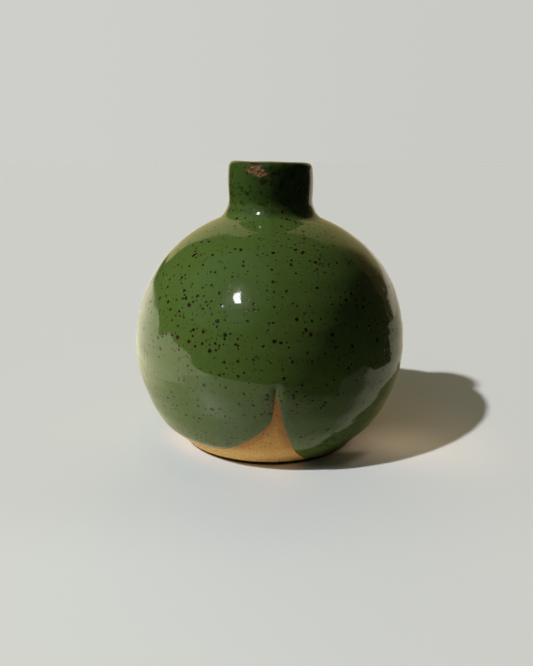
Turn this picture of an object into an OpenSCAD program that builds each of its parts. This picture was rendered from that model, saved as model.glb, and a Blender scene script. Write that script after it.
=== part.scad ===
// Bud vase: a small wheel-thrown stoneware bottle, glazed by two dips and a poured liner.
// Millimetres, +Z up, standing on z = 0 with the throwing axis on Z and the front at -Y.

/* [Size] */
// Overall height, foot to lip
height = 92; // [90:0.5:100]
// Greatest diameter of the belly, over the glaze
belly_d = 90; // [86:1:96]
// Height of the greatest diameter above the table
belly_z = 33; // [31:0.5:36]
// Height of the belly above its greatest diameter, before the neck grows out of it
belly_rise = 44.3; // [42:0.1:46]

/* [Foot] */
// Diameter across the foot where the flank runs into it
foot_d = 59; // [54:1:62]
// Height of the rounded edge under the flank
foot_edge = 1.2; // [0.6:0.2:2]
// Diameter of the shallow hollow turned into the underside
hollow_d = 42; // [30:1:48]
// Depth of that hollow
hollow_depth = 1.2; // [0.6:0.2:2]
// Angle down from the top of the belly at which the round flank turns straight
flank_angle = 126; // [118:1:132]

/* [Neck] */
// Outside diameter of the neck, over the glaze
neck_d = 27.5; // [26:0.5:30]
// Bore of the neck, inside the liner glaze
bore_d = 19; // [16:0.5:20]
// Radius of the hollow curve from the shoulder into the neck
neck_fillet = 5; // [3:0.5:7]
// Rounding of the lip, inside and outside
lip_round = 1.7; // [1:0.1:2]

/* [Walls and glaze] */
// Thickness of the thrown wall without glaze
wall = 4; // [3:0.25:5]
// Height of the inside floor above the table
floor_z = 6; // [5:0.5:8]
// Thickness of each glaze coat
glaze = 0.4; // [0.3:0.05:0.6]
// Where the two outer dips meet, left or right of the axis
seam_x = 1; // [-3:0.5:3]
// Lowest level the left dip reached round the side
left_dip_z = 6; // [3:0.5:8]
// Lowest level the right dip reached round the side
right_dip_z = 2.6; // [2:0.2:6]

/* [Hidden] */
$fn = 96;
clay_color = [0.72, 0.52, 0.32];
glaze_color = [0.22, 0.31, 0.13];
liner_color = [0.30, 0.38, 0.20];
belly_r = belly_d / 2;
neck_r = neck_d / 2;
bore_r = bore_d / 2;
// Half axis of the flank below the greatest diameter; the floor cuts it short
belly_drop = 41.9;
// Steps round the belly's outline, and round each smaller curve
arc_steps = 40;
corner_steps = 10;
// The inside floor is a wide dish
dish_r = 60;
// The crown of the belly is close to a circle of this radius about this height
crown_r = belly_r * belly_r / belly_rise;
crown_z = belly_z + belly_rise - crown_r;
// Centre of the hollow curve that joins that circle to the neck
fillet_x = neck_r + neck_fillet;
fillet_z = crown_z + sqrt(pow(crown_r + neck_fillet, 2) - pow(fillet_x, 2));
// How far that curve turns, from the crown round to the neck
fillet_angle = acos(fillet_x / (crown_r + neck_fillet));
// Further out than any part of the vase
clear = 60;

// The bare clay tent at the front, between the two dip lines, seen from the front
front_tent = [
    [1.6, 31], [2.4, 28], [4.2, 18], [6, 12], [9, 6], [12, right_dip_z],
    [12, -1], [-17, -1], [-17, left_dip_z], [-12.6, 8.2], [-8.4, 10.7],
    [-4.3, 14.5], [-1.5, 17.3], [0.1, 20], [0.8, 24]
];
// The smaller one at the back
back_tent = [
    [seam_x, 24], [3.5, 15], [8, 8], [15, right_dip_z],
    [15, -1], [-14, -1], [-14, left_dip_z], [-7, 9], [-2, 15]
];

// Corners round the belly's outline, between two angles down from its top, this far inside it
function belly_arc(from, to, inset) = [for (a = [from:(to - from) / arc_steps:to]) [
    (belly_r - inset) * sin(a),
    belly_z + ((a < 90 ? belly_rise : belly_drop) - inset) * cos(a)
]];

// Corners round part of a circle, between two angles anticlockwise from +X
function arc(center, r, from, to) = [for (a = [from:(to - from) / corner_steps:to])
    center + r * [cos(a), sin(a)]
];

// The whole vase as if it were solid, drawn inset by a thickness
module vase_solid(inset) {
    touch_x = fillet_x * (crown_r - inset) / (crown_r + neck_fillet);
    touch_angle = asin(touch_x / (belly_r - inset));
    foot_r = foot_d / 2 - inset;
    rotate_extrude() polygon(concat(
        [[0, 0], [foot_r - foot_edge, 0], [foot_r, foot_edge]],
        belly_arc(flank_angle, touch_angle, inset),
        arc([fillet_x, fillet_z], neck_fillet + inset, 180 + fillet_angle, 180),
        arc([neck_r - lip_round, height - lip_round], lip_round - inset, 0, 90),
        [[0, height - inset]]
    ));
}

// The space inside: the belly, over a dished floor
module belly_space(inset) {
    intersection() {
        rotate_extrude() polygon(concat([[0, 0]], belly_arc(flank_angle, 0, wall + glaze + inset)));
        translate([0, 0, floor_z + inset + dish_r]) sphere(dish_r);
    }
}

// The space inside the neck, opening with a rounded lip
module neck_space(grow) {
    lip = [bore_r + lip_round, height - lip_round];
    translate([0, 0, belly_z]) cylinder(r = bore_r + grow, h = height - belly_z);
    rotate_extrude() polygon(concat(
        [[0, lip.y]],
        arc(lip, lip_round - grow, 180, 90),
        [[lip.x, height + 1], [0, height + 1]]
    ));
}

// The thrown clay: wall, floor, foot and neck in one piece
module stoneware_body() {
    color(clay_color) difference() {
        vase_solid(glaze);
        belly_space(-glaze);
        neck_space(glaze);
        translate([0, 0, -1]) cylinder(d = hollow_d, h = 1 + hollow_depth);
    }
}

// Everything the outer glaze could cover, before the dip lines are cut
module outer_coat() {
    difference() {
        vase_solid(0);
        vase_solid(glaze);
        neck_space(glaze);
    }
}

// A bare tent, carried from the axis out through the front (-1) or the back (1)
module tent(outline, side) {
    translate([0, side < 0 ? 0 : clear, 0]) rotate([90, 0, 0]) linear_extrude(clear) polygon(outline);
}

// One outer dip: the coat on one side of the seam, above that dip's lowest level
module outer_dip(left, lowest) {
    difference() {
        intersection() {
            outer_coat();
            translate([left ? seam_x - clear : seam_x, -clear, lowest]) cube([clear, 2 * clear, height]);
        }
        tent(front_tent, -1);
        tent(back_tent, 1);
    }
}

module glaze_left_dip() {
    color(glaze_color) outer_dip(true, left_dip_z);
}

module glaze_right_dip() {
    color(glaze_color) outer_dip(false, right_dip_z);
}

// The glaze poured round the inside, up through the neck to the lip
module glaze_liner() {
    color(liner_color) difference() {
        intersection() {
            union() {
                belly_space(-glaze);
                neck_space(glaze);
            }
            vase_solid(0);
        }
        belly_space(0);
        neck_space(0);
    }
}

stoneware_body();
glaze_left_dip();
glaze_right_dip();
glaze_liner();
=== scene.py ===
import math

import bpy
import numpy as np
from mathutils import Matrix, Vector
from mathutils.kdtree import KDTree


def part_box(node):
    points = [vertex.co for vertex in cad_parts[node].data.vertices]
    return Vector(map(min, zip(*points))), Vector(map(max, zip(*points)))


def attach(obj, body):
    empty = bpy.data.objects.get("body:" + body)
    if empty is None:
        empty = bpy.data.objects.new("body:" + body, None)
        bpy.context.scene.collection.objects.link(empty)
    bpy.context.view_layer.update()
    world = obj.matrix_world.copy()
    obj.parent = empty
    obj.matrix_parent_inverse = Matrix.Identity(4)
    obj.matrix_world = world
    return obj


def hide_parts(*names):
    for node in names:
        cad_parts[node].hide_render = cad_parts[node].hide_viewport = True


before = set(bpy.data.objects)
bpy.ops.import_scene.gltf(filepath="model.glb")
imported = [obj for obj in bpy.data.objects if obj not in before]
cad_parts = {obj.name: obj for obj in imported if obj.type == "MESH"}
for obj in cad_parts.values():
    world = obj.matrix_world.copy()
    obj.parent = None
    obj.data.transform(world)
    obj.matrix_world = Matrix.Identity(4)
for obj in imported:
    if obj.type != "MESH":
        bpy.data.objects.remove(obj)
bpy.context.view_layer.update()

# Lengths are worked out in millimetres, and turned into metres where a mesh or a lamp is made.
MM = 0.001
random = np.random.default_rng(7)

# ---------------------------------------------------------------- sizes, from the frame

_, body_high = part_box("stoneware_body")
left_low, left_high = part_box("glaze_left_dip")
HEIGHT = left_high.z / MM
BELLY_R = -left_low.x / MM
GLAZE = (left_high.z - body_high.z) / MM
BELLY_Z = 33.0
BELLY_RISE = 44.3
BELLY_DROP = 41.9
NECK_R = 13.75
NECK_FILLET = 5.0
BORE_R = 9.5
LIP_ROUND = 1.7
FLANK_ANGLE = 126.0
FOOT_R = 29.5
FOOT_EDGE = 1.6
# The foot's contact ring stands this far in from its edge, and the edge this far off the table.
FOOT_UNDERCUT = 3.0
FOOT_LIFT = 0.55
# The contact ring rises to this share of the lift, and then the edge is rounded between two angles.
UNDERCUT_SHARE = 0.7
FOOT_TURN = (-65, -25)
HOLLOW_R = 21.0
HOLLOW_DEPTH = 1.2
WALL = 4.0
FLOOR_Z = 6.0
DISH_R = 60.0
# The inside of the belly is followed down to this angle from its top, where the dished floor has begun.
INSIDE_ANGLE = 150.0
# Near each corner of the inside, this much of the outline is left out, so that the corner is eased.
EASE = 1.5
# How many points an arc, the dished floor, and an outline that is being resampled have.
ARC_POINTS = 24
DISH_POINTS = 30
OUTLINE_SAMPLES = 4000

# ---------------------------------------------------------------- the thrown outline


def arc(centre, radius, start, stop, count=ARC_POINTS):
    """Points (r, z) round part of a circle, from one angle to another in degrees."""
    a = np.radians(np.linspace(start, stop, count))
    return np.stack([centre[0] + radius * np.cos(a), centre[1] + radius * np.sin(a)], 1)


def belly_curve(start, stop, inset, count=90):
    """Points (r, z) down the belly, between two angles from its top."""
    a = np.radians(np.linspace(start, stop, count))
    rise = np.where(a < math.pi / 2, BELLY_RISE, BELLY_DROP) - inset
    return np.stack([(BELLY_R - inset) * np.sin(a), BELLY_Z + rise * np.cos(a)], 1)


def outside_outline(inset):
    """The outside, from the foot's contact ring up over the lip to the middle of its crown."""
    crown_r = BELLY_R ** 2 / BELLY_RISE
    crown_z = BELLY_Z + BELLY_RISE - crown_r
    fillet_x = NECK_R + NECK_FILLET
    fillet_z = crown_z + math.sqrt((crown_r + NECK_FILLET) ** 2 - fillet_x ** 2)
    turn = math.degrees(math.acos(fillet_x / (crown_r + NECK_FILLET)))
    touch_x = fillet_x * (crown_r - inset) / (crown_r + NECK_FILLET)
    touch = math.degrees(math.asin(touch_x / (BELLY_R - inset)))
    foot_r = FOOT_R - inset
    parts = [
        [[foot_r - FOOT_UNDERCUT, 0], [foot_r - FOOT_EDGE, FOOT_LIFT * UNDERCUT_SHARE]],
        arc((foot_r - FOOT_EDGE, FOOT_EDGE + FOOT_LIFT), FOOT_EDGE, *FOOT_TURN, count=8),
        belly_curve(FLANK_ANGLE, touch, inset),
        arc((fillet_x, fillet_z), NECK_FILLET + inset, 180 + turn, 180),
        arc((NECK_R - LIP_ROUND, HEIGHT - LIP_ROUND), LIP_ROUND - inset, 0, 90),
    ]
    return np.concatenate(parts)


def inside_outline(inset):
    """The inside, from the middle of the lip's crown down the bore and round the belly to its floor."""
    lip = (BORE_R + LIP_ROUND, HEIGHT - LIP_ROUND)
    bore_r = BORE_R + inset
    reach = WALL + GLAZE - inset
    belly_top = math.degrees(math.asin((bore_r + EASE) / (BELLY_R - reach)))
    belly = belly_curve(belly_top, INSIDE_ANGLE, reach)
    dish_z = FLOOR_Z - inset + DISH_R
    above = belly[:, 1] > dish_z - np.sqrt(DISH_R ** 2 - belly[:, 0] ** 2)
    belly = belly[above]
    dish_r = np.linspace(belly[-1, 0] - EASE, 0, DISH_POINTS)
    dish = np.stack([dish_r, dish_z - np.sqrt(DISH_R ** 2 - dish_r ** 2)], 1)
    parts = [
        arc(lip, LIP_ROUND - inset, 90, 180),
        [[bore_r, belly[0, 1] + EASE]],
        belly,
        dish,
    ]
    return np.concatenate(parts)


def resample(outline, spacing):
    """An outline with its points this far apart, where spacing is a function of height."""
    step = np.linalg.norm(np.diff(outline, axis=0), axis=1)
    outline = outline[np.concatenate([[True], step > 1e-6])]
    along = np.concatenate([[0], np.cumsum(np.linalg.norm(np.diff(outline, axis=0), axis=1))])
    fine = np.linspace(0, along[-1], OUTLINE_SAMPLES)
    r, z = (np.interp(fine, along, outline[:, i]) for i in (0, 1))
    count = np.concatenate([[0], np.cumsum(np.diff(fine) / spacing(z[1:]))])
    places = np.interp(np.linspace(0, count[-1], int(count[-1]) + 1), count, fine)
    return np.stack([np.interp(places, fine, r), np.interp(places, fine, z)], 1)


def outward(outline):
    """The outline's unit normals, on the side that faces out of the clay."""
    d = np.gradient(outline, axis=0)
    d /= np.linalg.norm(d, axis=1)[:, None]
    return np.stack([d[:, 1], -d[:, 0]], 1)


def smoothstep(x, low, high):
    """0 up to low, 1 past high, and a smooth rise between them, whichever way round they are."""
    t = np.clip((x - low) / (high - low), 0, 1)
    return t * t * (3 - 2 * t)


# ---------------------------------------------------------------- what the hand did to it


def hand_waves(turns, rises, size):
    """A few random waves round and up the vase, as [(turns, rise per mm, phase, size)]."""
    waves = []
    for n in turns:
        for rise in rises:
            pitch = random.uniform(0.6, 1.4) * rise
            waves.append((n, pitch, random.uniform(0, 2 * math.pi), size * random.uniform(0.5, 1) / n))
    return waves


SLOW_WAVES = hand_waves((2, 3, 4, 5), (0.03, -0.05, 0.08), 0.16)
QUICK_WAVES = hand_waves((7, 9, 12, 15), (0.15, -0.25, 0.4), 0.05)
# The throwing rings go once round in each pitch, and stop where the neck starts.
RING_PITCH = 6.5
RING_DEPTH = 0.045
NECK_STARTS = (76, 80)
NECK_STEADINESS = 0.6
# The neck is slimmer than drawn, barrelled, and stands off centre.
NECK_SLIMMING = 0.2
BARREL = 0.14
BARREL_Z = 85.5
BARREL_PITCH = 14
NECK_SHIFT = 0.35
SHIFT_RISE = (70, 84)
# The right shoulder is fuller than the left, round this height, and most of all a little behind +X.
RIGHT_SWELL = 1.1
SWELL_Z = 61
SWELL_REACH = 15
SWELL_TURN = 0.2
# The foot is a little oval, more so to the left, and this dies out between two heights.
FOOT_OVAL = 1.2
OVAL_LEFT = 1.3
OVAL_RIGHT = 0.6
OVAL_FADE = (4, 22)
# The rim is higher on the left, and waves three times round.
RIM_TILT = 0.30
RIM_WAVE = 0.1
RIM_PHASE = 0.6
RIM_RISE = (80, 92)
# From this far out, all unevenness dies away towards the axis.
STILL_R = 8


def sum_waves(waves, azimuth, z):
    """How far the waves together push the clay out, in millimetres."""
    return sum(size * np.cos(n * azimuth + pitch * z + phase) for n, pitch, phase, size in waves)


def thrown(outline, normal, azimuth, lift):
    """The outline spun round, lifted along its normals, with the small unevenness of a thrown pot.
    Azimuth is in radians from the front, towards +X. The result is in millimetres."""
    r = outline[:, 0][:, None] + lift * normal[:, 0][:, None]
    z = outline[:, 1][:, None] + lift * normal[:, 1][:, None]
    around = azimuth + 0 * z
    height = outline[:, 1][:, None] + 0 * around
    on_neck = smoothstep(height, *NECK_STARTS)
    ring = RING_DEPTH * np.sin(2 * math.pi * height / RING_PITCH + around) * (1 - on_neck)
    wobble = sum_waves(SLOW_WAVES, around, height) * (1 - NECK_STEADINESS * on_neck)
    wobble += sum_waves(QUICK_WAVES, around, height) + ring
    barrel = BARREL * np.cos(2 * math.pi * (height - BARREL_Z) / BARREL_PITCH) - NECK_SLIMMING
    barrel = barrel * on_neck
    swell = RIGHT_SWELL * np.exp(-((height - SWELL_Z) / SWELL_REACH) ** 2)
    swell = swell * np.clip(np.sin(around - SWELL_TURN), 0, 1)
    oval = FOOT_OVAL * (1 - smoothstep(height, *OVAL_FADE)) * np.sin(around) ** 2
    oval = oval * np.where(np.sin(around) < 0, OVAL_LEFT, OVAL_RIGHT)
    r = r + (wobble + barrel + swell + oval) * smoothstep(outline[:, 0][:, None], 0, STILL_R)
    shift = NECK_SHIFT * smoothstep(height, *SHIFT_RISE)
    rim_lift = -RIM_TILT * np.sin(around) - RIM_WAVE * np.cos(3 * around + RIM_PHASE) + RIM_WAVE
    z = z + rim_lift * smoothstep(height, *RIM_RISE)
    return np.stack([r * np.sin(around) + shift, -r * np.cos(around), z], -1)


# ---------------------------------------------------------------- where the dips ended

# The lower edge of each dip: (azimuth in degrees, height in millimetres), through smooth curves.
# The left dip runs from the back seam, round the left side, to the front seam; the right dip goes on.
FRONT_SEAM = 1.9
BACK_SEAM = 181.0
FRONT_TIP = 31.0
BACK_TIP = 24.0
LEFT_EDGE = [
    (-179.0, BACK_TIP), (-178.3, 19), (-176.5, 15), (-172, 10.5), (-164, 7.5), (-150, 6.2),
    (-120, 5.6), (-80, 6.4), (-55, 6.1), (-39, 6.2), (-30, 6.3), (-21, 7.9), (-13.7, 10.4),
    (-7.0, 14.2), (-2.7, 17.2), (0.1, 20), (1.1, 24), (1.5, 27.5), (FRONT_SEAM, FRONT_TIP),
]
RIGHT_EDGE = [
    (FRONT_SEAM, FRONT_TIP), (2.6, 28.5), (4.0, 24), (5.8, 18), (8.9, 12), (12, 8.0), (15.4, 5.0),
    (21.0, 2.0), (27, 1.1), (60, 1.0), (100, 1.6), (140, 3.6), (160, 6), (170, 9), (176, 14),
    (179.5, 19), (BACK_SEAM, BACK_TIP),
]
SEAM_LEAN = -0.035


def smooth_curve(points, steps=24):
    """A curve through the points (Catmull-Rom), with this many steps between each two."""
    p = np.array(points, float)
    p = np.concatenate([[2 * p[0] - p[1]], p, [2 * p[-1] - p[-2]]])
    t = np.linspace(0, 1, steps, endpoint=False)[:, None]
    made = []
    for a, b, c, d in zip(p, p[1:], p[2:], p[3:]):
        bend = 2 * a - 5 * b + 4 * c - d
        twist = 3 * b - a - 3 * c + d
        made.append(b + t * ((c - a) + t * (bend + t * twist)) / 2)
    return np.concatenate(made + [p[-2:-1]])


def seam_azimuth(seam, z):
    """Where a seam stands at this height, in degrees: it leans a little as it climbs from the tent."""
    return seam + SEAM_LEAN * (z - FRONT_TIP)


# ---------------------------------------------------------------- meshes

SHARP_ANGLE = math.radians(50)


def mesh_object(name, points, quads, attributes=()):
    """An object in metres from points in millimetres, smooth but for its sharp edges."""
    mesh = bpy.data.meshes.new(name)
    mesh.from_pydata((points * MM).tolist(), [], [list(dict.fromkeys(q)) for q in quads.tolist()])
    for key, values in attributes:
        mesh.attributes.new(key, "FLOAT", "POINT").data.foreach_set("value", values.astype(np.float32))
    mesh.validate()
    mesh.shade_smooth()
    mesh.set_sharp_from_angle(angle=SHARP_ANGLE)
    made = bpy.data.objects.new(name, mesh)
    bpy.context.scene.collection.objects.link(made)
    return made


def grid_quads(rows, columns):
    """Corner numbers of each cell of a grid of points."""
    i, j = np.meshgrid(np.arange(rows - 1), np.arange(columns - 1), indexing="ij")
    a = i * columns + j
    return np.stack([a, a + 1, a + columns + 1, a + columns], -1)


def shell(name, outer, inner, keep, attributes):
    """A closed coat between two grids of points, made of the cells marked in keep."""
    rows, columns = outer.shape[:2]
    quads = grid_quads(rows, columns)[keep].reshape(-1, 4)
    edges = np.concatenate([quads[:, [k, (k + 1) % 4]] for k in range(4)])
    lone = set(map(tuple, edges.tolist()))
    rim = np.array([e for e in lone if (e[1], e[0]) not in lone])
    count = rows * columns
    sides = np.stack([rim[:, 1], rim[:, 0], rim[:, 0] + count, rim[:, 1] + count], 1)
    faces = np.concatenate([quads, quads[:, ::-1] + count, sides])
    points = np.concatenate([outer.reshape(-1, 3), inner.reshape(-1, 3)])
    used, faces = np.unique(faces, return_inverse=True)
    faces = faces.reshape(-1, 4)
    values = [(key, np.concatenate([v.ravel(), v.ravel()])[used]) for key, v in attributes]
    return mesh_object(name, points[used], faces, values)


def distance_to(points, curve):
    """How far each point is from a row of points."""
    tree = KDTree(len(curve))
    for i, p in enumerate(curve):
        tree.insert(p, i)
    tree.balance()
    flat = points.reshape(-1, 3)
    return np.array([tree.find(p)[2] for p in flat]).reshape(points.shape[:-1])


# Columns stand closest within this many degrees of each tent, and fairly close round the front.
NEAR_FRONT = 11
ROUND_FRONT = 36
NEAR_BACK = 14
COLUMN_SAMPLES = 6000


def column_azimuths(start, stop):
    """Azimuths in degrees between two seams, close together near the tents."""
    fine = np.linspace(start, stop, COLUMN_SAMPLES)
    from_front = np.abs((fine + 180) % 360 - 180)
    from_back = 180 - from_front
    gap = np.where(from_front < NEAR_FRONT, 0.32, np.where(from_front < ROUND_FRONT, 0.6, 1.2))
    gap = np.where(from_back < NEAR_BACK, 0.45, gap)
    count = np.concatenate([[0], np.cumsum(np.diff(fine) / gap[1:])])
    return np.interp(np.linspace(0, count[-1], int(count[-1]) + 1), count, fine)


# ---------------------------------------------------------------- the pieces

# Each coat reaches this far into the clay, so that no gap shows.
OVERLAP_DEPTH = 0.12
# The outer dips run over the lip and this far down the bore, thinning out under the liner.
LAP_DOWN_BORE = 3.0
LAP_THINNING = 2.5
# A dip thins by this share towards its lower edge, over this distance.
EDGE_THINNING = 0.5
EDGE_REACH = 2.5
# Past its edge the coat sinks into the clay at this slope, and its cells are kept this far down.
SINK_SLOPE = 0.6
EDGE_KEEP = -0.45
# The bead is rounded over this distance from the edge, and fullest a little above it.
ROUNDING = 0.8
BEAD = 0.03
BEAD_PLACE = 1.2
BEAD_WIDE = 0.9
# The two dips overlap in a low ridge at the seams.
RIDGE = 0.03
RIDGE_WIDE = 2.2
# Above this distance from the edge the ridge and the lip's thinning are full.
FULL_ABOVE = 2
# Glaze ran thin on the lip, between two depths under its top, and pooled in the fillet under the neck.
LIP_THINNING = 0.17
LIP_DEPTHS = (2.6, 0.6)
POOL = 0.15
POOL_Z = 77
POOL_WIDE = 2.2
# The columns of cells lean with the seams within this many degrees of them.
LEAN_REACH = 30
# How far apart the clay's rows of cells are underneath and inside, and how many columns there are.
UNDERSIDE_ROWS = 1.2
INSIDE_ROWS = 1.4
CLAY_COLUMNS = 320
LINER_COLUMNS = 200
# An edge is looked up on an outline this fine.
FINE_ROWS = 0.1
# The liner starts this far under the top of the lip, and its face this far in from the drawn one.
LINER_DROP = 2.0
LINER_INSET = 0.06
LINER_ROWS = 0.3
# How thick the liner counts as, as a share of a full coat, and how far from any edge.
LINER_DEPTH = 0.9
LINER_FROM_EDGE = 9.0


def evenly(distance):
    """A spacing for resample that is the same at every height."""
    return lambda z: distance + 0 * z


def coat_spacing(z):
    """How far apart a dip's rows of cells are: closest near its lower edge."""
    return np.where(z < 33, 0.4, np.where(z < 73, 1.0, 0.5))


def clay_spacing(z):
    """How far apart the rows of cells on the outside of the clay are."""
    return np.where(z < 34, 0.5, 0.9)


def liner_spacing(z):
    """How far apart the liner's rows of cells are: closest in the neck."""
    return np.where(z > 70, 0.5, 1.3)


def spun(name, outline, columns, attributes):
    """A closed surface: an outline that starts and ends on the axis, carried right round."""
    azimuth = np.radians(np.linspace(0, 360, columns, endpoint=False))
    points = thrown(outline, outward(outline), azimuth, 0)
    rows = len(outline)
    quads = grid_quads(rows, columns + 1).reshape(-1, 4)
    row, column = quads // (columns + 1), quads % (columns + 1) % columns
    on_axis = (row == 0) | (row == rows - 1)
    corner = np.where(on_axis, row * columns, row * columns + column)
    used, faces = np.unique(corner, return_inverse=True)
    points = points.reshape(-1, 3)[used]
    return mesh_object(name, points, faces.reshape(-1, 4), attributes(points))


def make_body():
    """The thrown clay, closed: underside, outside, lip, bore, inside and floor."""
    hollow = [
        [0, HOLLOW_DEPTH], [HOLLOW_R - 3, HOLLOW_DEPTH], [HOLLOW_R - 1, HOLLOW_DEPTH - 0.25],
        [HOLLOW_R, 0.2], [HOLLOW_R + 0.8, 0],
    ]
    underside = resample(np.array(hollow), evenly(UNDERSIDE_ROWS))
    outside = resample(outside_outline(GLAZE), clay_spacing)
    inside = resample(inside_outline(GLAZE), evenly(INSIDE_ROWS))
    outline = np.concatenate([underside, outside, inside[1:]])
    return spun("clay_body", outline, CLAY_COLUMNS, lambda p: [("from_glaze", bare_edge_distance(p))])


def edge_curve(points):
    """A dip's lower edge on the clay, as points in millimetres."""
    curve = smooth_curve(points)
    outline = resample(outside_outline(GLAZE), evenly(FINE_ROWS))
    outline = outline[np.argmax(outline[:, 0] > FOOT_R - 1):np.argmax(outline[:, 1] > BELLY_Z + 10)]
    r = np.interp(curve[:, 1], outline[:, 1], outline[:, 0])
    a = np.radians(curve[:, 0])
    return np.stack([r * np.sin(a), -r * np.cos(a), curve[:, 1]], 1)


def bare_edge_distance(points):
    """How far each point is from the lower edge of either dip."""
    return distance_to(points, np.concatenate([edge_curve(LEFT_EDGE), edge_curve(RIGHT_EDGE)]))


def make_dip(name, edge, start, stop):
    """One outer dip, between two seams, down to its own lower edge."""
    over_lip = inside_outline(GLAZE)[:ARC_POINTS]
    down_bore = [[over_lip[-1, 0], over_lip[-1, 1] - LAP_DOWN_BORE]]
    outline = resample(np.concatenate([outside_outline(GLAZE), over_lip, down_bore]), coat_spacing)
    normal = outward(outline)
    height = outline[:, 1][:, None]
    base = column_azimuths(start, stop)[None, :]
    # The seams lean, and the columns lean with them.
    at_start = smoothstep(base, start + LEAN_REACH, start)
    at_stop = smoothstep(base, stop - LEAN_REACH, stop)
    lean = SEAM_LEAN * (height - FRONT_TIP)
    azimuth = base + lean * (at_start + at_stop)
    clay = thrown(outline, normal, np.radians(azimuth), 0)
    low = smooth_curve(edge)
    order = np.argsort(low[:, 0])
    edge_z = np.interp(azimuth, low[order, 0], low[order, 1])
    apart = distance_to(clay, edge_curve(edge)) * np.where(clay[..., 2] > edge_z, 1, -1)
    depth = coat_thickness(apart, azimuth, height, (start, stop))
    thick = depth * (1 - EDGE_THINNING * (1 - smoothstep(apart, 0, EDGE_REACH)))
    # Inside the neck the coat runs out under the liner.
    down = np.cumsum(np.concatenate([[0], np.linalg.norm(np.diff(outline, axis=0), axis=1)]))
    thick = thick * smoothstep(down[-1] - down, 0, LAP_THINNING)[:, None]
    outer = thrown(outline, normal, np.radians(azimuth), thick)
    inner = thrown(outline, normal, np.radians(azimuth), -OVERLAP_DEPTH + 0 * thick)
    inside = apart > EDGE_KEEP
    keep = inside[:-1, :-1] & inside[1:, :-1] & inside[:-1, 1:] & inside[1:, 1:]
    return shell(name, outer, inner, keep, [("depth", depth / GLAZE), ("from_edge", apart)])


def coat_thickness(apart, azimuth, height, seams):
    """The glaze's thickness in millimetres, at this distance from its lower edge."""
    into_round = 1 - np.clip(apart, 0, ROUNDING) / ROUNDING
    rounded = np.sqrt(np.clip(1 - into_round ** 2, 0, 1))
    bead = BEAD * np.exp(-((apart - BEAD_PLACE) / BEAD_WIDE) ** 2)
    thick = (GLAZE + bead) * rounded
    clear_of_edge = smoothstep(apart, 0, FULL_ABOVE)
    for seam in seams:
        across = np.radians(azimuth - seam_azimuth(seam, height)) * BELLY_R
        thick = thick + RIDGE * np.exp(-(across / RIDGE_WIDE) ** 2) * clear_of_edge
    on_lip = smoothstep(height, HEIGHT - LIP_DEPTHS[0], HEIGHT - LIP_DEPTHS[1])
    thick = thick - LIP_THINNING * on_lip * clear_of_edge
    pool = POOL * np.exp(-((height - POOL_Z) / POOL_WIDE) ** 2)
    return np.where(apart > 0, thick + pool, apart * SINK_SLOPE)


def make_liner():
    """The glaze inside, from just under the lip down to the floor, as a closed coat."""
    top = HEIGHT - LINER_DROP
    back = resample(inside_outline(GLAZE + OVERLAP_DEPTH), evenly(LINER_ROWS))
    face = resample(inside_outline(LINER_INSET), evenly(LINER_ROWS))
    outline = np.concatenate([back[back[:, 1] < top][::-1], face[face[:, 1] < top]])
    outline = resample(outline, liner_spacing)
    return spun("liner_glaze", outline, LINER_COLUMNS, liner_attributes)


def liner_attributes(points):
    """The liner is a little thin all over, and has no edge in sight."""
    count = len(points)
    return [("depth", np.full(count, LINER_DEPTH)), ("from_edge", np.full(count, LINER_FROM_EDGE))]


# ---------------------------------------------------------------- materials

# How specks come out: their wander and raggedness, their least radius and how much more the largest
# have, as shares of the radius asked for, and how soft their rim is in millimetres.
SPECK_WANDER = 1.2
SPECK_RAGGED = 1.4
SPECK_LEAST = 0.45
SPECK_SPREAD = 0.8
SPECK_RIM = (-0.05, 0.07)
# How a blot leans and frays, and where its rim is, counted in its own radii.
BLOT_LEAN = 0.3
BLOT_RAGGED = 1.3
BLOT_RIM = (1.85, 1.5)


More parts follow.
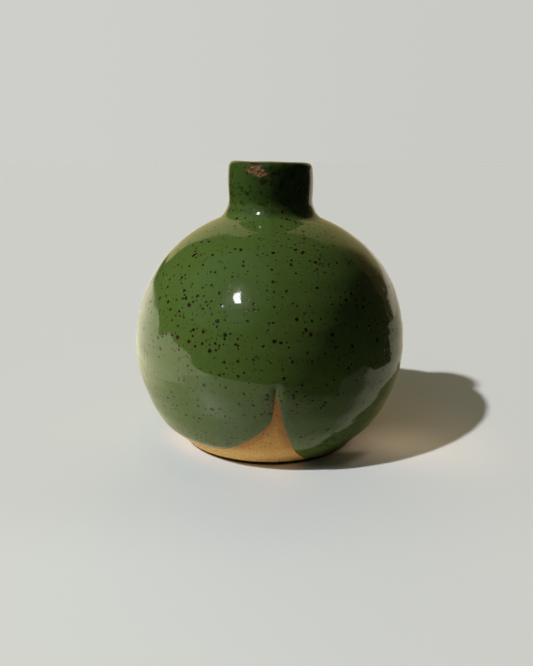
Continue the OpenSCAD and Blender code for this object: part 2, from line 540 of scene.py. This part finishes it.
class Nodes:
    """A material's nodes, made one call each."""

    def __init__(self, name):
        self.material = bpy.data.materials.new(name)
        self.material.use_nodes = True
        self.tree = self.material.node_tree
        self.tree.nodes.clear()
        place = self.add("ShaderNodeTexCoord").outputs["Object"]
        self.place = self.shifted(place, "MULTIPLY", 1 / MM)

    def add(self, kind, *values, **settings):
        """A node with its inputs set in order, or by name in inputs=, to values or to other sockets."""
        made = self.tree.nodes.new(kind)
        named = settings.pop("inputs", {})
        for key, value in settings.items():
            setattr(made, key, value)
        for key, value in list(enumerate(values)) + list(named.items()):
            if isinstance(value, bpy.types.NodeSocket):
                self.tree.links.new(value, made.inputs[key])
            elif value is not None:
                made.inputs[key].default_value = value
        return made

    def math(self, operation, *values):
        """One step of arithmetic on numbers or sockets."""
        return self.add("ShaderNodeMath", *values, operation=operation).outputs[0]

    def all_of(self, *masks):
        """Masks multiplied together."""
        made = masks[0]
        for mask in masks[1:]:
            made = self.math("MULTIPLY", made, mask)
        return made

    def shifted(self, place, operation, amount):
        """A vector with the same amount worked into each of its parts."""
        return self.add("ShaderNodeVectorMath", place, (amount,) * 3, operation=operation).outputs[0]

    def between(self, value, low, high, start=0.0, stop=1.0):
        """A smooth step of a value, from start at low to stop at high."""
        made = self.add("ShaderNodeMapRange", value, low, high, start, stop, interpolation_type="SMOOTHSTEP")
        return made.outputs[0]

    def mix(self, factor, a, b, blend="MIX"):
        """Two colours mixed."""
        made = self.add("ShaderNodeMix", data_type="RGBA", blend_type=blend)
        for key, value in ((0, factor), (6, a), (7, b)):
            if isinstance(value, bpy.types.NodeSocket):
                self.tree.links.new(value, made.inputs[key])
            else:
                made.inputs[key].default_value = value if key == 0 else (*value, 1)
        return made.outputs[2]

    def noise(self, size, detail=3.0, rough=0.5, squash=(1, 1, 1), shift=0.0):
        """Cloudy noise from 0 to 1 with features about this many millimetres across."""
        scaled = self.add("ShaderNodeVectorMath", self.place, squash, operation="MULTIPLY").outputs[0]
        moved = self.shifted(scaled, "ADD", shift)
        made = self.add("ShaderNodeTexNoise", inputs={
            "Vector": moved, "Scale": 1 / size, "Detail": detail, "Roughness": rough,
        })
        return made.outputs[0]

    def axes(self):
        """The place on the object in millimetres, as x, y and z."""
        return self.add("ShaderNodeSeparateXYZ", self.place).outputs

    def attribute(self, name):
        """A number that the mesh carries at each point."""
        return self.add("ShaderNodeAttribute", attribute_name=name).outputs["Fac"]

    def specks(self, cell, radius, shift, share):
        """Scattered ragged spots, 1 inside and 0 outside, in this share of cells so many millimetres wide."""
        wander = self.add("ShaderNodeTexNoise", inputs={
            "Vector": self.place, "Scale": SPECK_WANDER / radius, "Detail": 2.0,
        })
        push = self.shifted(wander.outputs["Color"], "SUBTRACT", 0.5)
        push = self.shifted(push, "MULTIPLY", radius * SPECK_RAGGED)
        moved = self.add("ShaderNodeVectorMath", self.place, push, operation="ADD").outputs[0]
        moved = self.shifted(moved, "ADD", shift)
        cells = self.add("ShaderNodeTexVoronoi", inputs={"Vector": moved, "Scale": 1 / cell})
        chance = self.add("ShaderNodeSeparateColor", cells.outputs["Color"])
        # Most specks are near the least size, and a few come near the greatest.
        rare = self.math("POWER", chance.outputs[1], 2.0)
        size = self.math("MULTIPLY_ADD", rare, radius * SPECK_SPREAD, radius * SPECK_LEAST)
        away = self.math("MULTIPLY", cells.outputs["Distance"], cell)
        spot = self.between(self.math("SUBTRACT", size, away), *SPECK_RIM)
        there = self.math("LESS_THAN", chance.outputs[0], share)
        return self.math("MULTIPLY", spot, there)

    def blot(self, x, z, wide, high):
        """A ragged mark on the front, 1 inside and 0 outside, leaning down to the right."""
        here_x, _, here_z = self.axes()
        slant = self.math("MULTIPLY_ADD", here_x, BLOT_LEAN, here_z)
        across = self.math("MULTIPLY_ADD", here_x, 1 / wide, -x / wide)
        along = self.math("MULTIPLY_ADD", slant, 1 / high, -(z + BLOT_LEAN * x) / high)
        away = self.math("ADD", self.math("POWER", across, 2.0), self.math("POWER", along, 2.0))
        rag = self.noise(1.6, 4, 0.65, shift=71.0)
        ragged = self.math("MULTIPLY_ADD", rag, BLOT_RAGGED, self.math("SQRT", away))
        return self.between(ragged, *BLOT_RIM)

    def finish(self, **inputs):
        """The principled shader, with its inputs given by name with _ for a space."""
        named = {key.replace("_", " "): value for key, value in inputs.items()}
        shader = self.add("ShaderNodeBsdfPrincipled", inputs=named)
        self.add("ShaderNodeOutputMaterial", shader.outputs[0])
        return self.material


# The glaze's colours.
GREEN = (0.078, 0.135, 0.024)
GREEN_LIGHT = (0.105, 0.160, 0.032)
GREEN_STREAK = (0.085, 0.148, 0.030)
GREEN_MOTTLE = (0.066, 0.125, 0.025)
GREEN_THICK = (0.030, 0.062, 0.014)
OLIVE_THIN = (0.150, 0.135, 0.035)
RUST_THIN = (0.130, 0.045, 0.016)
IRON = (0.024, 0.010, 0.002)
# The neck's darker green, laid on more towards its right side as painted shade.
NECK_GREEN_AND_SHADE = (0.014, 0.040, 0.006)
NECK_IRON = (0.020, 0.014, 0.005)
SCAR_DARK = (0.12, 0.040, 0.016)
SCAR_PALE = (0.40, 0.24, 0.13)
# The iron specks come in three sizes.
LARGE_SPECKS = {"cell": 2.0, "radius": 0.58, "shift": 3.1}
MEDIUM_SPECKS = {"cell": 1.35, "radius": 0.42, "shift": 11.7}
SMALL_SPECKS = {"cell": 0.85, "radius": 0.21, "shift": 23.3}
SMALL_STRENGTH = 0.75
# None stands in a patch on the belly, round this place in millimetres.
CLEAR_PLACE = (-8.8, -37.7, 55.7)
CLEAR_RADII = (2.0, 3.5)
# The glaze darkens upwards between these heights.
NECK_DARKENS = (76, 82)
# The scar's two blots on the front of the neck, in millimetres.
SCAR_BLOTS = (
    {"x": -3.4, "z": 89.1, "wide": 2.6, "high": 1.4},
    {"x": -6.1, "z": 89.4, "wide": 1.7, "high": 0.65},
)


def speck_mask(n, share):
    """Where the glaze's iron specks are, in this share of their cells at the densest."""
    density = n.between(n.noise(30, 2, shift=7.0), 0.3, 0.65, 0.45, 1.0)
    x, _, z = n.axes()
    # Few specks came through low on the right.
    low_right = n.all_of(n.between(x, 2, 10), n.between(z, 26, 19))
    sparse = n.between(low_right, 0, 1, 1.0, 0.4)
    away = n.add("ShaderNodeVectorMath", n.place, CLEAR_PLACE, operation="DISTANCE").outputs["Value"]
    share = n.all_of(density, sparse, n.between(away, *CLEAR_RADII), share)
    large = n.specks(**LARGE_SPECKS, share=share)
    medium = n.specks(**MEDIUM_SPECKS, share=share)
    small = n.math("MULTIPLY", n.specks(**SMALL_SPECKS, share=share), SMALL_STRENGTH)
    return n.math("MAXIMUM", n.math("MAXIMUM", large, medium), small)


def scar_mask(n):
    """Where the bare, rusty scar is, on the front of the neck."""
    _, y, _ = n.axes()
    first, second = (n.blot(**place) for place in SCAR_BLOTS)
    return n.math("MULTIPLY", n.math("MAXIMUM", first, second), n.math("LESS_THAN", y, 0.0))


def glaze_tone(n, specks, scar):
    """Cloudy olive green, browner where it is thin, with its specks, its darker neck, painted shade on the
    neck's right side, and the scar.
    """
    tone = n.mix(n.noise(22, 3), GREEN, GREEN_LIGHT)
    tone = n.mix(n.between(n.noise(5, 4, squash=(1, 1, 0.5)), 0.35, 0.75), tone, GREEN_STREAK)
    tone = n.mix(n.between(n.noise(0.9, 3, 0.7, shift=31.0), 0.3, 0.7, 0.0, 0.55), tone, GREEN_MOTTLE)
    # Thin glaze breaks olive and then rust; thick glaze goes deeper.
    depth = n.attribute("depth")
    tone = n.mix(n.between(depth, 1.15, 1.6), tone, GREEN_THICK)
    tone = n.mix(n.between(depth, 0.75, 0.5), tone, OLIVE_THIN)
    tone = n.mix(n.between(depth, 0.42, 0.2), tone, RUST_THIN)
    tone = n.mix(specks, tone, IRON)
    # The neck is darker, more so towards its right side as painted shade, and mottled with iron.
    x, _, z = n.axes()
    on_neck = n.between(z, *NECK_DARKENS)
    tone = n.mix(n.math("MULTIPLY", on_neck, n.between(x, -9, 1, 0.60, 0.76)), tone, NECK_GREEN_AND_SHADE)
    mottle = n.between(n.noise(1.9, 2, 0.5, shift=47.0), 0.55, 0.64, 0.0, 0.85)
    tone = n.mix(n.math("MULTIPLY", mottle, on_neck), tone, NECK_IRON)
    rust = n.mix(n.between(n.noise(1.0, 4, 0.6, shift=83.0), 0.45, 0.62), SCAR_DARK, SCAR_PALE)
    return n.mix(scar, tone, rust)


# How high the glaze's ripples, a speck's pit and the scar's lumps stand, in millimetres.
RIPPLE_HEIGHT = 0.10
FINE_HEIGHT = 0.004
PIT_HEIGHT = -0.025
SCAR_HEIGHT = 0.25
# What specks, the scar and the glaze's edge each add to its roughness.
SPECK_ROUGH = 0.15
SCAR_ROUGH = 0.25
EDGE_ROUGH = 0.25


def glaze_material(name, speckle_share):
    """Olive-green stoneware glaze: glassy, rippled and iron-speckled."""
    n = Nodes(name)
    specks = speck_mask(n, speckle_share)
    scar = scar_mask(n)
    tone = glaze_tone(n, specks, scar)
    fine = n.math("MULTIPLY", n.noise(1.4, 3, shift=40.0), FINE_HEIGHT)
    height = n.math("MULTIPLY_ADD", n.noise(9, 2), RIPPLE_HEIGHT, fine)
    pits = n.math("MULTIPLY", specks, n.noise(0.3, 2, shift=19.0))
    height = n.math("MULTIPLY_ADD", pits, PIT_HEIGHT, height)
    lumps = n.math("MULTIPLY", scar, n.noise(0.6, 4, shift=90.0))
    height = n.math("MULTIPLY_ADD", lumps, SCAR_HEIGHT, height)
    bump = n.add("ShaderNodeBump", inputs={"Strength": 1.0, "Distance": MM, "Height": height})
    rough = n.between(n.noise(3, 3, shift=60.0), 0.3, 0.8, 0.045, 0.10)
    rough = n.math("MULTIPLY_ADD", specks, SPECK_ROUGH, rough)
    rough = n.math("MULTIPLY_ADD", scar, SCAR_ROUGH, rough)
    rough = n.math("ADD", rough, n.between(n.attribute("from_edge"), 1.0, 0.1, 0.0, EDGE_ROUGH))
    return n.finish(Base_Color=tone, Roughness=rough, IOR=1.5, Normal=bump.outputs[0])


# The bare clay's colours.
CLAY = (0.74, 0.385, 0.095)
CLAY_LIGHT = (0.85, 0.47, 0.125)
CLAY_GRAIN = (0.85, 0.52, 0.19)
# A pale clay colour laid low on the left as painted light.
CLAY_PAINTED_LIGHT = (0.99, 0.68, 0.28)
CLAY_DARK_GRAIN = (0.42, 0.20, 0.06)
CLAY_TOASTED = (0.45, 0.16, 0.045)
CLAY_SPECK = (0.045, 0.022, 0.012)
COARSE_CLAY_SPECKS = {"cell": 1.1, "radius": 0.24, "share": 0.6, "shift": 2.0}
FINE_CLAY_SPECKS = {"cell": 0.6, "radius": 0.14, "share": 0.8, "shift": 9.0}
# How high the clay's grain and its streaks stand, and how deep its specks are, in millimetres.
GRAIN_HEIGHT = 0.12
STREAK_HEIGHT = 0.14
CLAY_PIT_DEPTH = 0.04


def clay_material():
    """Bare, fired stoneware: warm, matte, with grog, iron specks, a toasted line beside the glaze and painted
    light low on the left.
    """
    n = Nodes("bare_stoneware")
    tone = n.mix(n.noise(12, 4), CLAY, CLAY_LIGHT)
    tone = n.mix(n.between(n.noise(1.1, 3, shift=5.0), 0.4, 0.8, 0.0, 0.5), tone, CLAY_GRAIN)
    # The clay is painted palest low on the left, the side the sun and the lit paper reach: painted light. It
    # is toasted beside the glaze higher up.
    x, _, z = n.axes()
    pale = n.all_of(n.between(z, 11, 4), n.between(x, 12, -14, 0.35, 1.0), 0.9)
    tone = n.mix(pale, tone, CLAY_PAINTED_LIGHT)
    tone = n.mix(n.between(n.noise(0.45, 3, 0.7, shift=55.0), 0.35, 0.7, 0.0, 0.55), tone, CLAY_DARK_GRAIN)
    beside_glaze = n.between(n.attribute("from_glaze"), 3.5, 0.2, 0.0, 0.6)
    tone = n.mix(n.math("MULTIPLY", beside_glaze, n.between(z, 5, 12)), tone, CLAY_TOASTED)
    specks = n.math("MAXIMUM", n.specks(**COARSE_CLAY_SPECKS), n.specks(**FINE_CLAY_SPECKS))
    tone = n.mix(n.math("MULTIPLY", specks, 0.85), tone, CLAY_SPECK)
    streaks = n.math("MULTIPLY", n.noise(2.5, 3, squash=(1, 1, 4)), STREAK_HEIGHT)
    grain = n.math("MULTIPLY_ADD", n.noise(0.5, 4, 0.6), GRAIN_HEIGHT, streaks)
    grain = n.math("SUBTRACT", grain, n.math("MULTIPLY", specks, CLAY_PIT_DEPTH))
    bump = n.add("ShaderNodeBump", inputs={"Strength": 0.9, "Distance": MM, "Height": grain})
    rough = n.between(n.noise(1.5, 3, shift=15.0), 0.2, 0.8, 0.62, 0.85)
    return n.finish(Base_Color=tone, Roughness=rough, IOR=1.45, Normal=bump.outputs[0])


def give(piece, material, node):
    """A finished piece: its material, and what it rides on and stands for."""
    piece.data.materials.append(material)
    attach(piece, "root")
    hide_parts(node)


outer_glaze = glaze_material("green_glaze", speckle_share=0.62)
inner_glaze = glaze_material("liner_glaze", speckle_share=0.35)
clay_body = make_body()
left_dip = make_dip("left_dip", LEFT_EDGE, BACK_SEAM - 360, FRONT_SEAM)
right_dip = make_dip("right_dip", RIGHT_EDGE, FRONT_SEAM, BACK_SEAM)
liner = make_liner()
give(clay_body, clay_material(), "stoneware_body")
give(left_dip, outer_glaze, "glaze_left_dip")
give(right_dip, outer_glaze, "glaze_right_dip")
give(liner, inner_glaze, "glaze_liner")

# ---------------------------------------------------------------- the table it stands on


def stage_plane(name, corners, material, z=0.0):
    """A flat stage piece from its corners in metres."""
    mesh = bpy.data.meshes.new(name)
    mesh.from_pydata([(x, y, z) for x, y in corners], [], [tuple(range(len(corners)))])
    made = bpy.data.objects.new(name, mesh)
    made.data.materials.append(material)
    bpy.context.scene.collection.objects.link(made)
    return made


# The paper's colours, on the far sheet and then on the near one, and tints and tones on them; some are
# painted light, painted shade and painted shadows.
PAPER_LEFT_LIT = (0.808, 0.824, 0.824)
PAPER_RIGHT = (0.773, 0.785, 0.785)
PAPER_POOL_LIGHT = (0.872, 0.892, 0.888)
WARM_PAPER = (0.80, 0.755, 0.60)
PAINTED_SHADE_PAPER = (0.21, 0.20, 0.17)
PAINTED_GLOW = (0.60, 0.50, 0.30)
COOL_TINT = (0.88, 0.93, 1.0)
PAINTED_SHADOW_TINT = (0.36, 0.38, 0.32)
PAINTED_CONTACT_SHADOW = (0.04, 0.028, 0.018)
CLOUD_TONE = (0.60, 0.60, 0.58)
PAPER_ROUGH = 0.42


def far_paper():
    """Plain pale paper, a little cloudy, with painted light to the left and towards the front, and painted
    shadows by the foot.
    """
    n = Nodes("matt_paper")
    x, y, _ = n.axes()
    # Painted light: lighter to the left, and a painted pool of light towards the front left.
    tone = n.mix(n.between(x, -80, 80), PAPER_LEFT_LIT, PAPER_RIGHT)
    towards = n.all_of(n.between(y, -42, -85), n.between(x, 50, -55, 0.4, 1.0), n.between(y, -220, -130))
    tone = n.mix(towards, tone, PAPER_POOL_LIGHT)
    # Beside the foot the paper is cooler, to balance the light off the clay.
    squared = n.math("ADD", n.math("POWER", x, 2.0), n.math("POWER", y, 2.0))
    away = n.math("SQRT", squared)
    cool = n.math("MULTIPLY", n.between(away, 52, 33), n.between(x, 6, -10))
    tone = n.mix(cool, tone, COOL_TINT, blend="MULTIPLY")
    # In front on the right, where the body leans out over the foot, the paper is darkened as a painted
    # shadow, deepest there.
    beside_foot = n.all_of(n.between(away, 39.5, 35), n.between(x, 4, 16))
    painted_shadow = n.all_of(beside_foot, n.between(y, -17, -22), n.between(y, -32, -28))
    tone = n.mix(painted_shadow, tone, PAINTED_SHADOW_TINT, blend="MULTIPLY")
    # Where the foot meets it, the paper is painted dark: a painted contact shadow.
    tone = n.mix(n.between(away, 29.6, 28.2), tone, PAINTED_CONTACT_SHADOW)
    tone = n.mix(n.between(n.noise(60, 2), 0, 1, 0.0, 0.03), tone, CLOUD_TONE)
    return n.finish(Base_Color=tone, Roughness=PAPER_ROUGH, Specular_IOR_Level=0.0)


def near_paper():
    """Warm satin paper, with painted shade in front to the right, and a painted glow at the far left."""
    n = Nodes("satin_paper")
    x, y, _ = n.axes()
    # Painted shade: the paper is darkened in front to the right.
    dim = n.math("MULTIPLY", n.between(x, 2, 38), n.between(y, -28, -42))
    tone = n.mix(dim, WARM_PAPER, PAINTED_SHADE_PAPER)
    # Painted light: the paper glows at the far left.
    lit = n.math("MULTIPLY", n.between(x, -62, -86), n.between(y, -34, -12))
    glow = n.mix(lit, (0, 0, 0), PAINTED_GLOW)
    return n.finish(
        Base_Color=tone, Roughness=PAPER_ROUGH, Specular_IOR_Level=1.0, Emission_Color=glow,
        Emission_Strength=1.0,
    )


# The near sheet lights the vase and shows in its glaze, and the far sheet is what the camera sees.
# The near sheet ends where the table does, in front and to the right.
NEAR_SHEET = [
    (-0.90, -0.31), (-0.21, -0.148), (-0.107, -0.124), (-0.03, -0.121), (0.007, -0.108), (0.036, -0.098),
    (0.06, -0.066), (0.112, -0.073), (0.20, -0.056), (0.15, -0.035), (0.12, -0.02), (0.121, 0.012),
    (0.135, 0.035), (0.20, 0.06), (0.50, 0.18), (0.50, 0.90), (-0.90, 0.90),
]
# It lies just under the far sheet, which reaches this far each way.
SHEET_GAP = 0.0003
FAR = 30.0
near_sheet = stage_plane("near_sheet", NEAR_SHEET, near_paper(), z=-SHEET_GAP)
near_sheet.visible_camera = False
far_corners = [(-FAR, -FAR), (FAR, -FAR), (FAR, FAR), (-FAR, FAR)]
far_sheet = stage_plane("far_sheet", far_corners, far_paper())
far_sheet.visible_glossy = False
far_sheet.visible_diffuse = False
far_sheet.visible_shadow = False
far_sheet.visible_transmission = False

# ---------------------------------------------------------------- light


def direction(azimuth, elevation):
    """The unit vector towards a light, from its azimuth (0 in front, 90 at +X) and elevation in degrees."""
    a, e = math.radians(azimuth), math.radians(elevation)
    return Vector((math.sin(a) * math.cos(e), -math.cos(a) * math.cos(e), math.sin(e)))


def sun(name, azimuth, elevation, energy, angle, color):
    """A sun in this direction, angle degrees across."""
    light = bpy.data.lights.new(name, "SUN")
    light.energy = energy
    light.angle = math.radians(angle)
    light.color = color
    made = bpy.data.objects.new(name, light)
    made.rotation_mode = "QUATERNION"
    made.rotation_quaternion = direction(azimuth, elevation).to_track_quat("Z", "Y")
    bpy.context.scene.collection.objects.link(made)
    return made


PANEL_AWAY = 2.0


def panel(name, top, bottom, wide, radiance):
    """A small far window seen only in the glaze, between two (azimuth, elevation) ends, wide in degrees."""
    top, bottom = direction(*top), direction(*bottom)
    middle = (top + bottom).normalized()
    side = (top - bottom).cross(middle).normalized()
    light = bpy.data.lights.new(name, "AREA")
    light.shape = "RECTANGLE"
    light.size = PANEL_AWAY * math.radians(wide)
    light.size_y = PANEL_AWAY * (top - bottom).length
    light.energy = radiance * math.pi * light.size * light.size_y
    made = bpy.data.objects.new(name, light)
    made.rotation_mode = "QUATERNION"
    made.rotation_quaternion = Matrix((side, middle.cross(side), middle)).transposed().to_quaternion()
    made.location = middle * PANEL_AWAY
    made.visible_diffuse = False
    bpy.context.scene.collection.objects.link(made)


def shine_only_on(light, name, objects):
    """Keep a light to these objects."""
    group = bpy.data.collections.new(name)
    for piece in objects:
        group.objects.link(piece)
    light.light_linking.receiver_collection = group


BOUNCE_SIZE = 0.012


def warm_bounce(name, place, aim, energy, color, wide):
    """Warm light thrown back on the table beside the vase, in a soft cone so many degrees wide."""
    light = bpy.data.lights.new(name, "SPOT")
    light.energy = energy
    light.color = color
    light.spot_size = math.radians(wide)
    light.spot_blend = 1.0
    light.shadow_soft_size = BOUNCE_SIZE
    made = bpy.data.objects.new(name, light)
    made.location = place
    made.rotation_mode = "QUATERNION"
    made.rotation_quaternion = (Vector(place) - Vector(aim)).to_track_quat("Z", "Y")
    made.visible_glossy = False
    bpy.context.scene.collection.objects.link(made)
    shine_only_on(made, name + "_receivers", [far_sheet])


# One sun shapes the vase and a steeper one throws its shadow, so that both fall as they should.
vase_pieces = [o for o in bpy.data.objects if o.type == "MESH" and o not in (near_sheet, far_sheet)]
key = sun("key", azimuth=-78, elevation=37, energy=2.85, angle=2.0, color=(1.0, 0.985, 0.965))
key.visible_glossy = False
shine_only_on(key, "key_receivers", vase_pieces)
shadow_sun = sun(
    "shadow_sun", azimuth=-57, elevation=45, energy=2.65, angle=2.0, color=(0.985, 0.99, 0.985),
)
shine_only_on(shadow_sun, "shadow_receivers", [near_sheet, far_sheet])
fill = sun("fill", azimuth=0, elevation=80, energy=0.12, angle=90, color=(1.0, 0.97, 0.90))
shine_only_on(fill, "fill_receivers", [near_sheet, far_sheet])
# Sunlit clay and glaze throw warm light into the shadow: a wide glow, and a brighter band by the foot.
warm_bounce(
    "warm_bounce", place=(0.070, -0.038, 0.045), aim=(0.047, -0.006, 0.0),
    energy=0.014, color=(1.0, 0.60, 0.32), wide=75,
)
warm_bounce(
    "warm_band", place=(0.074, -0.019, 0.044), aim=(0.037, -0.0125, 0.0),
    energy=0.038, color=(1.0, 0.74, 0.48), wide=31,
)
panel("window_glint", top=(-40.1, 52.1), bottom=(-33.9, 43.0), wide=4.5, radiance=26)
panel("low_glint", top=(-48.3, 35.1), bottom=(-46.2, 35.1), wide=1.4, radiance=14)

# A glowing card at the left, a painted reflection which shows only in the glaze, with a black one just behind
# it.
CARD_X = -0.100
CARD_GAP = 0.003
CARD_COLOR = (1.0, 0.91, 0.70)
CARD_STRENGTH = 1.65
CARD_TOP = 0.080
CARD = [
    (-0.118, 0.000), (-0.084, 0.022), (-0.061, 0.036), (-0.031, 0.052), (-0.014, 0.043), (0.001, 0.061),
    (0.010, CARD_TOP), (0.170, CARD_TOP), (0.170, 0.000),
]
DARK_CARD = [(-0.120, 0.0), (-0.120, CARD_TOP), (0.172, CARD_TOP), (0.172, 0.0)]
# The glow fades between these heights and these distances back, in millimetres.
CARD_TOP_FADE = (67, 58)
CARD_BACK_FADE = (50, 150)


def glowing(name, color, strength):
    """A plain glow that fades out towards its top, and halfway towards its back."""
    n = Nodes(name)
    _, y, z = n.axes()
    fade = n.all_of(n.between(z, *CARD_TOP_FADE), n.between(y, *CARD_BACK_FADE, 1.0, 0.55), strength)
    light = n.add("ShaderNodeEmission", (*color, 1), fade)
    n.add("ShaderNodeOutputMaterial", light.outputs[0])
    return n.material


def upright_card(name, x, outline, material):
    """A card standing across the X axis, from its outline (y, z) in metres, seen only in reflections."""
    mesh = bpy.data.meshes.new(name)
    mesh.from_pydata([(x, y, z) for y, z in outline], [], [tuple(range(len(outline)))])
    made = bpy.data.objects.new(name, mesh)
    made.data.materials.append(material)
    made.visible_camera = False
    made.visible_diffuse = False
    made.visible_shadow = False
    bpy.context.scene.collection.objects.link(made)


upright_card("left_card", CARD_X, CARD, glowing("card_light", CARD_COLOR, CARD_STRENGTH))
upright_card("dark_card", CARD_X - CARD_GAP, DARK_CARD, glowing("card_dark", (0, 0, 0), 0.0))

# ---------------------------------------------------------------- the room

BACKDROP_LEFT = (0.616, 0.623, 0.592)
BACKDROP_RIGHT = (0.584, 0.590, 0.558)
ROOM = (0.020, 0.019, 0.016)
WALL_LEFT = (0.71, 0.57, 0.31)
WALL_MIDDLE = (0.50, 0.42, 0.18)
WALL_RIGHT = (0.11, 0.075, 0.035)
WALL_FOOT = (0.85, 0.76, 0.60)
WINDOW = (0.13, 0.19, 0.17)
HALO = (0.9, 0.95, 0.9)
# The wall's edges, as (where, how soft), where across is x / y and up is z / y, seen from the vase.
WALL_LEFT_END = (0.62, 0.03)
WALL_RIGHT_END = (1.85, 0.08)
WALL_TOP = (2.05, 0.06)
# Its top right corner is cut off along a line that falls this much for each step across.
CORNER_FALL = 0.72
CORNER_CUT = (2.3, 0.06)
# Its foot is brighter.
WALL_FOOT_TOP = (0.14, 0.06)
WALL_FOOT_END = (1.22, 0.1)
# The window's middle, as azimuth and elevation, and the angles from it where it ends and is full.
WINDOW_MIDDLE = (-58, 47)
WINDOW_FADE = (46, 24)
# It is cut off to the right of this x, counted along the direction looked in, as (where, how soft).
WINDOW_END = (0.02, 0.012)
# The window lights the vase less than it shows in the glaze.
WINDOW_AS_LIGHT = 0.4
# A soft glow shows in the glaze round the window's glint.
HALO_MIDDLE = (-37, 45)
HALO_FADE = (15, 3)
HALO_STRENGTH = 0.8


class World(Nodes):
    """The room round the table: dark, with a pale wall behind, and a soft window at the front left."""

    def __init__(self):
        self.material = bpy.data.worlds.new("room")
        self.material.use_nodes = True
        self.tree = self.material.node_tree
        self.tree.nodes.clear()
        self.place = self.add("ShaderNodeTexCoord").outputs["Generated"]

    def along(self, axis):
        """How far the direction looked in goes along an axis."""
        made = self.add("ShaderNodeVectorMath", self.place, tuple(axis), operation="DOT_PRODUCT")
        return made.outputs["Value"]

    def below(self, value, edge, soft):
        """1 where a value is below an edge, 0 above it, with a soft step between."""
        return self.between(value, edge + soft, edge - soft)

    def around(self, middle, fade, strength=1.0):
        """A round glow about a direction, fading from nothing to its strength between two angles from it."""
        outer, inner = (math.cos(math.radians(angle)) for angle in fade)
        return self.between(self.along(direction(*middle)), outer, inner, 0.0, strength)


world = World()
x, y, z = (world.along(axis) for axis in ((1, 0, 0), (0, 1, 0), (0, 0, 1)))
back = world.math("MAXIMUM", y, 0.001)
across, up = world.math("DIVIDE", x, back), world.math("DIVIDE", z, back)
slope = world.math("MULTIPLY_ADD", across, CORNER_FALL, up)
wall = world.all_of(
    world.below(world.math("MULTIPLY", across, -1), *WALL_LEFT_END), world.below(across, *WALL_RIGHT_END),
    world.below(up, *WALL_TOP), world.below(slope, *CORNER_CUT), world.math("GREATER_THAN", y, 0.0),
)
wall_tone = world.mix(world.between(across, -0.6, 0.5), WALL_LEFT, WALL_MIDDLE)
wall_tone = world.mix(world.between(across, 0.6, 1.05), wall_tone, WALL_RIGHT)
foot = world.all_of(
    world.below(up, *WALL_FOOT_TOP), world.below(across, *WALL_FOOT_END), world.between(across, -0.1, 0.3),
)
wall_tone = world.mix(foot, wall_tone, WALL_FOOT)
light = world.mix(wall, ROOM, wall_tone)
light_path = world.add("ShaderNodeLightPath")
window = world.all_of(
    world.around(WINDOW_MIDDLE, WINDOW_FADE), world.below(x, *WINDOW_END),
    world.between(light_path.outputs["Is Diffuse Ray"], 0, 1, 1.0, WINDOW_AS_LIGHT),
)
light = world.mix(window, light, WINDOW)
light = world.mix(world.around(HALO_MIDDLE, HALO_FADE, HALO_STRENGTH), light, HALO)
backdrop = world.mix(world.between(x, -0.35, 0.35), BACKDROP_LEFT, BACKDROP_RIGHT)
light = world.mix(light_path.outputs["Is Camera Ray"], light, backdrop)
background = world.add("ShaderNodeBackground", light, 1.0)
world.add("ShaderNodeOutputWorld", background.outputs[0])
bpy.context.scene.world = world.material

# ---------------------------------------------------------------- camera

LENS = 34.5
CAMERA_PLACE = (-0.00102, -0.2115, 0.0923)
CAMERA_DIP = 15.12

camera = bpy.data.cameras.new("camera")
camera.lens = LENS
camera.clip_start = 0.01
camera_object = bpy.data.objects.new("camera", camera)
camera_object.location = CAMERA_PLACE
camera_object.rotation_euler = (math.radians(90 - CAMERA_DIP), 0, 0)
bpy.context.scene.collection.objects.link(camera_object)
bpy.context.scene.camera = camera_object
bpy.context.scene.view_settings.view_transform = "Standard"
